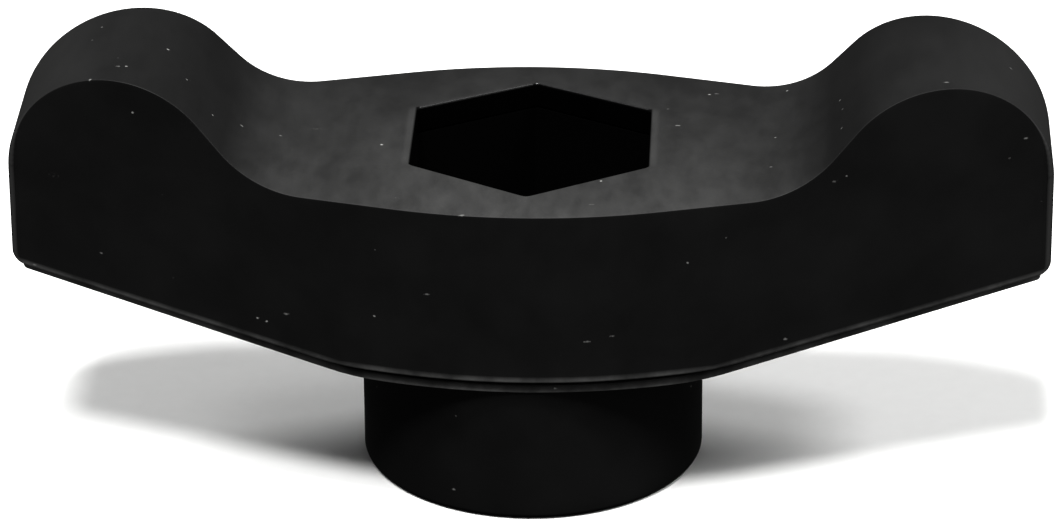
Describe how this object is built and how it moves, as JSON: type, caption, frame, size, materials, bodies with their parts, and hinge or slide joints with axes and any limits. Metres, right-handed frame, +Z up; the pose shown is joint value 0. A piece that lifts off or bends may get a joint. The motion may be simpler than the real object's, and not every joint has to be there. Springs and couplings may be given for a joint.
{
  "type": "oil filter wrench",
  "caption": "Winged hand grip with a hexagon socket right through its middle and a round collar below, for turning the hexagon of an oil filter by hand.",
  "frame": {"origin": "on the axis of the hexagon socket, at the foot of the collar, where the wrench stands on a flat surface", "axes": "+Z up along the socket's axis from the collar's foot to the grip's flat top; +X along the grip, square to two of the socket's flats; +Y across the grip"},
  "size_m": [0.1204, 0.0422, 0.051],
  "materials": {
    "grip_nylon": "black nylon as moulded, matte, with fine scuffs on the top",
    "bush_steel": "black phosphated steel, matte",
    "screw_steel": "black zinc plated screw steel, satin"
  },
  "bodies": {
    "root": {"upper_shell": "grip_nylon", "base_cover": "grip_nylon", "hex_bush": "bush_steel", "cover_screw_1": "screw_steel", "cover_screw_2": "screw_steel", "cover_screw_3": "screw_steel", "cover_screw_4": "screw_steel", "cover_screw_5": "screw_steel", "cover_screw_6": "screw_steel"}
  },
  "joints": []
}
